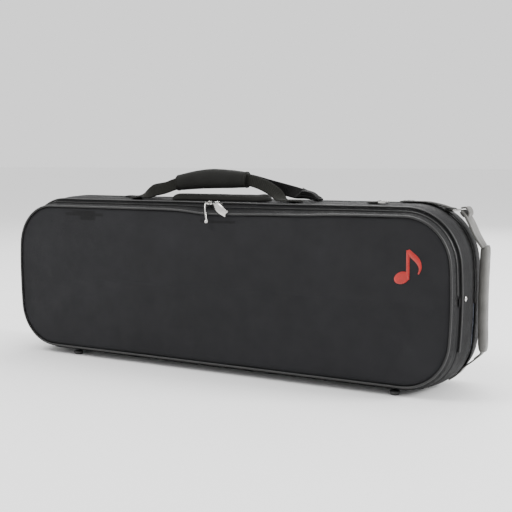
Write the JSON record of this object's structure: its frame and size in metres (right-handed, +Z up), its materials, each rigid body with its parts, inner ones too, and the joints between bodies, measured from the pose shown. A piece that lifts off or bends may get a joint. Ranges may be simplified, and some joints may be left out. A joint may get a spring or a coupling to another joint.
{
  "type": "violin case",
  "caption": "Soft-covered oblong violin case in black nylon: padded lid and base with a zip round them, piped edges, webbing top handle, leather end handle, back pocket and plush inside.",
  "frame": {"origin": "under the middle of the whole case, on the floor plane", "axes": "+X along the case towards the end handle, +Y from the lid to the back pocket, +Z up from the spine to the carrying handle"},
  "size_m": [0.8306, 0.1448, 0.3276],
  "materials": {
    "shell": "laminated ply shell",
    "nylon": "padded nylon, plain weave",
    "piping": "smooth coated piping",
    "zip_tape": "herringbone zip tape",
    "zip_coil": "nylon coil",
    "metal": "nickel-plated",
    "rubber": "moulded feet",
    "thread": "embroidered",
    "webbing": "ribbed webbing",
    "leather": "grey grained leather",
    "plush": "short-pile plush over foam",
    "knob": "moulded bow holders"
  },
  "bodies": {
    "base": {"base_shell": "shell", "base_cover": "nylon", "pocket_cover": "nylon", "rim_welt": "piping", "pocket_welt": "piping", "base_zip_tape": "zip_tape", "base_zip_coil": "zip_coil", "base_gusset": "nylon", "pocket_zip_base_tape": "zip_tape", "pocket_zip_tape": "zip_tape", "base_foot_left": "rubber", "base_foot_right": "rubber", "end_rivet_left": "metal", "end_rivet_right": "metal", "front_strap_foot_left": "webbing", "front_strap_foot_right": "webbing", "back_strap_foot_left": "webbing", "back_strap_fold": "webbing", "handle_rest_pad": "nylon", "end_tab_lower": "leather", "corner_strap": "webbing", "corner_ring": "metal", "side_ring_tab": "webbing", "violin_bed": "plush", "suspension_pad_lower": "plush", "suspension_pad_upper": "plush", "neck_cradle": "plush", "neck_strap": "webbing"},
    "lid": {"lid_shell": "shell", "lid_cover": "nylon", "face_welt": "piping", "lid_zip_tape": "zip_tape", "lid_zip_coil": "zip_coil", "lid_gusset": "nylon", "lid_foot_left": "rubber", "lid_foot_right": "rubber", "emblem": "thread", "lid_lining": "plush", "bow_tip_pocket_upper": "plush", "bow_tip_pocket_lower": "plush"},
    "left_slider": {"zip_slider_left": "metal"},
    "left_pull": {"zip_pull_left": "metal"},
    "right_slider": {"zip_slider_right": "metal"},
    "right_pull": {"zip_pull_right": "metal"},
    "back_slider": {"pocket_slider": "metal"},
    "back_pull": {"pocket_pull": "metal"},
    "top_handle": {"handle_grip": "nylon", "front_strap": "webbing", "back_strap": "webbing"},
    "end_handle": {"end_grip": "leather", "end_strap_upper": "leather", "end_strap_lower": "leather"},
    "strap_ring": {"side_ring": "metal"},
    "compartment_flap": {"accessory_lid": "plush", "accessory_pull_tab": "leather", "hygrometer": "metal"},
    "upper_spinner": {"bow_spinner_upper": "knob"},
    "lower_spinner": {"bow_spinner_lower": "knob"}
  },
  "joints": [
    {"name": "lid_open", "type": "hinge", "parent": "base", "child": "lid", "pos_m": [-0.0093, -0.0452, 0.0056], "axis": [1, 0, 0], "range_deg": [0, 100]},
    {"name": "left_slider_travel", "type": "slide", "parent": "lid", "child": "left_slider", "axis": [1, 0, 0], "range_m": [-0.29, 0]},
    {"name": "left_pull_lift", "type": "hinge", "parent": "left_slider", "child": "left_pull", "pos_m": [-0.0183, -0.0452, 0.2752], "axis": [-1, 0, 0], "range_deg": [0, 100]},
    {"name": "right_slider_travel", "type": "slide", "parent": "lid", "child": "right_slider", "axis": [1, 0, 0], "range_m": [0, 0.29]},
    {"name": "right_pull_lift", "type": "hinge", "parent": "right_slider", "child": "right_pull", "pos_m": [-0.0043, -0.0452, 0.2752], "axis": [-1, 0, 0], "range_deg": [0, 100]},
    {"name": "back_slider_travel", "type": "slide", "parent": "base", "child": "back_slider", "axis": [1, 0, 0], "range_m": [-0.26, 0.33]},
    {"name": "back_pull_lift", "type": "hinge", "parent": "back_slider", "child": "back_pull", "pos_m": [-0.0693, 0.0208, 0.2821], "axis": [1, 0, 0], "range_deg": [0, 110]},
    {"name": "top_handle_swing", "type": "hinge", "parent": "base", "child": "top_handle", "pos_m": [-0.0373, -0.0042, 0.2768], "axis": [1, 0, 0], "range_deg": [-12, 12], "stiffness_Nm_per_rad": 0.3},
    {"name": "end_handle_swing", "type": "hinge", "parent": "base", "child": "end_handle", "pos_m": [0.3947, 0.0248, 0.1498], "axis": [0, 0, 1], "range_deg": [-8, 8], "stiffness_Nm_per_rad": 0.3},
    {"name": "strap_ring_lift", "type": "hinge", "parent": "base", "child": "strap_ring", "pos_m": [0.254, -0.0012, 0.2792], "axis": [0, -1, 0], "range_deg": [0, 110]},
    {"name": "compartment_flap_open", "type": "hinge", "parent": "base", "child": "compartment_flap", "pos_m": [0.2987, -0.0216, 0.0298], "axis": [1, 0, 0], "range_deg": [0, 50]},
    {"name": "upper_spinner_turn", "type": "hinge", "parent": "lid", "child": "upper_spinner", "pos_m": [0.2387, -0.0528, 0.1828], "axis": [0, 1, 0], "range_deg": [-90, 90]},
    {"name": "lower_spinner_turn", "type": "hinge", "parent": "lid", "child": "lower_spinner", "pos_m": [0.2387, -0.0528, 0.0988], "axis": [0, 1, 0], "range_deg": [-90, 90]}
  ],
  "couplings": [
    {"joint": "compartment_flap_open", "follows": "lid_open", "ratio": 0.5}
  ]
}
